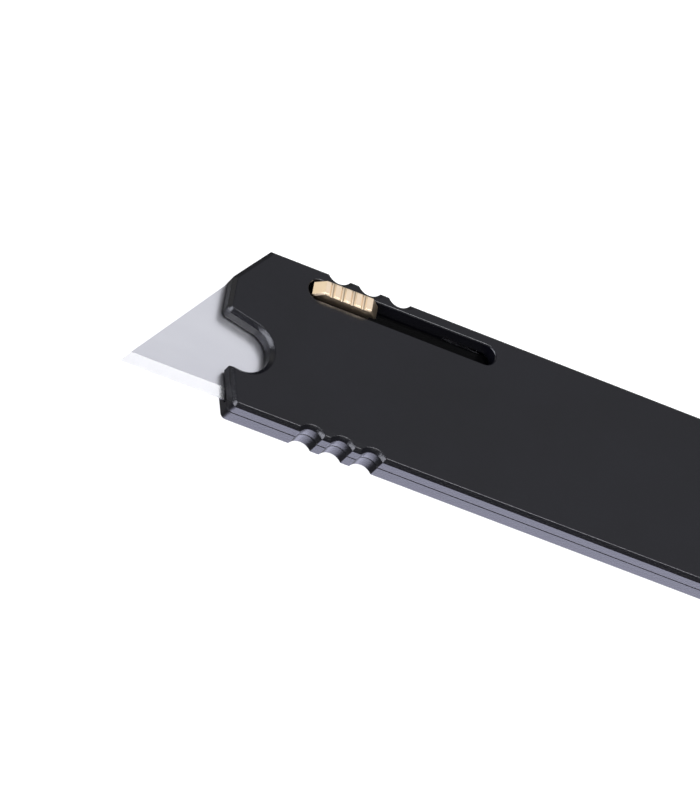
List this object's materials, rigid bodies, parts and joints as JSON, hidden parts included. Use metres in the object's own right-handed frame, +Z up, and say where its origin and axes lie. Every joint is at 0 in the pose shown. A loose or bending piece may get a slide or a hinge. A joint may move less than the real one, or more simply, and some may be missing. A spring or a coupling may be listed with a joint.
{
  "type": "utility knife",
  "caption": "Slim slide-out utility knife: machined black halves, trapezoid blade on an inner carrier, ribbed brass thumb slide in a long slot, finger notch and grip scallops.",
  "frame": {"origin": "centre of the body's flat back face, the face it lies on, with the blade's overhang left out", "axes": "+X from the blade towards the rear end, +Y from the cutting-edge side towards the spine side, +Z up out of the face with the thumb slide"},
  "size_m": [0.1059, 0.0274, 0.0069],
  "materials": {
    "body_black": "bead-blasted and black anodised, satin",
    "carrier_black": "black anodised, matt",
    "blade_steel": "ground carbon steel with a brighter ground bevel",
    "slide_brass": "satin machined brass",
    "screw_steel": "black oxide",
    "pin_steel": "ground",
    "spring_steel": "rolled strip",
    "magnet_nickel": "nickel plated",
    "strip_plastic": "low-friction plastic strip"
  },
  "bodies": {
    "body": {"upper_shell": "body_black", "lower_shell": "body_black", "detent_spring": "spring_steel", "front_stop_pin": "pin_steel", "rear_stop_pin": "pin_steel", "dowel_pin_front": "pin_steel", "dowel_pin_rear": "pin_steel", "body_screw_1": "screw_steel", "body_screw_2": "screw_steel", "body_screw_3": "screw_steel", "body_screw_4": "screw_steel", "body_screw_5": "screw_steel"},
    "carriage": {"blade_carrier": "carrier_black", "blade": "blade_steel", "thumb_slide": "slide_brass", "slide_screw_front": "screw_steel", "slide_screw_rear": "screw_steel", "blade_magnet_front": "magnet_nickel", "blade_magnet_rear": "magnet_nickel", "glide_strip_near": "strip_plastic", "glide_strip_far": "strip_plastic"}
  },
  "joints": [
    {"name": "blade_slide", "type": "slide", "parent": "body", "child": "carriage", "axis": [1, 0, 0], "range_m": [0, 0.019], "deforming": ["detent_spring"]}
  ]
}
